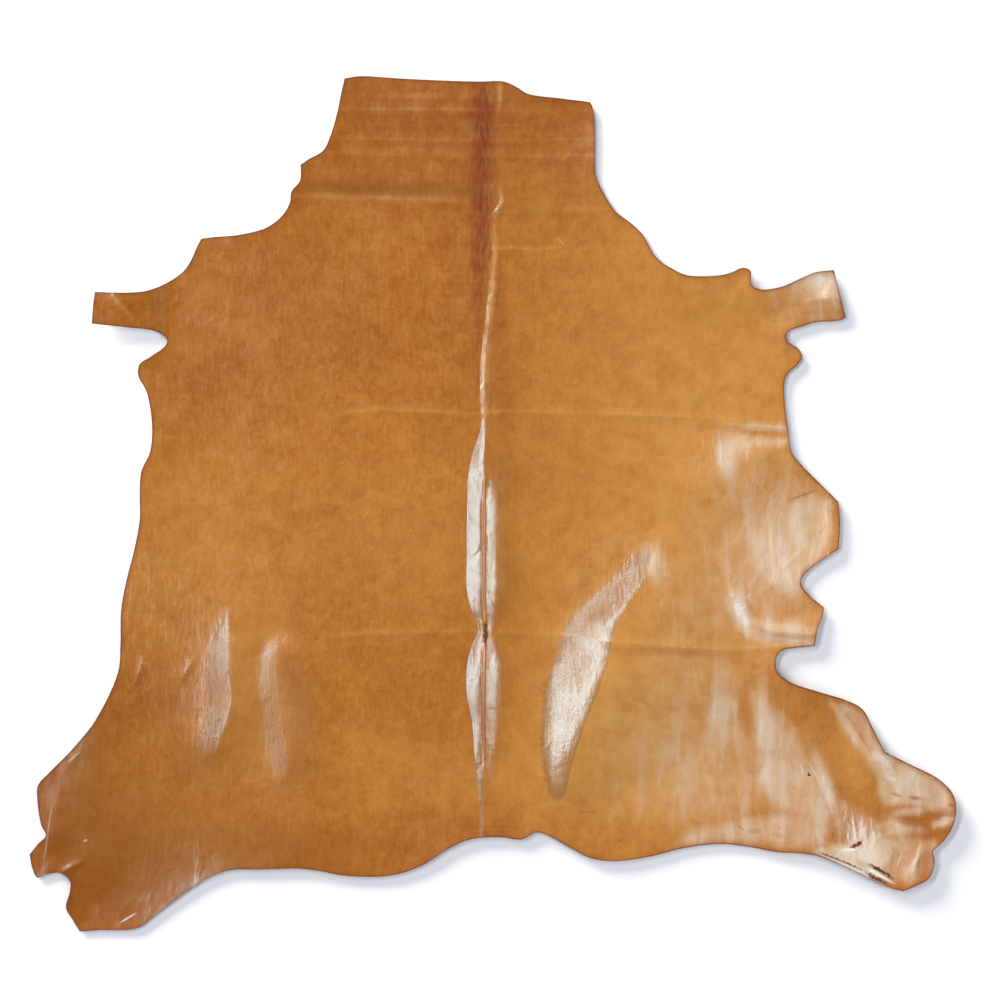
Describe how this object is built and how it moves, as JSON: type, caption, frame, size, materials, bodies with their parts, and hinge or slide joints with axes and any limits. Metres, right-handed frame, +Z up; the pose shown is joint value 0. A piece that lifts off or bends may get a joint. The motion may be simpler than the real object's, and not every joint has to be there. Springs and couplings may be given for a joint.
{
  "type": "leather hide",
  "caption": "Whole tanned hide with neck, flanks and shanks, lying grain side up with a raised spine fold, soft creases and buckled flanks.",
  "frame": {"origin": "under the middle of the hide's box, on the surface that it rests on", "axes": "+Z up out of the grain side, +Y along the spine from the tail to the neck, +X across the hide to the right when it is seen from above with the neck at the top"},
  "size_m": [1.202, 1.111, 0.0196],
  "materials": {
    "tan_leather": "vegetable-tanned honey tan grain with a glazed, waxy sheen, reddish brown stripe along the spine, dark cut edge and paler napped flesh side"
  },
  "bodies": {
    "root": {"hide": "tan_leather"}
  },
  "joints": []
}
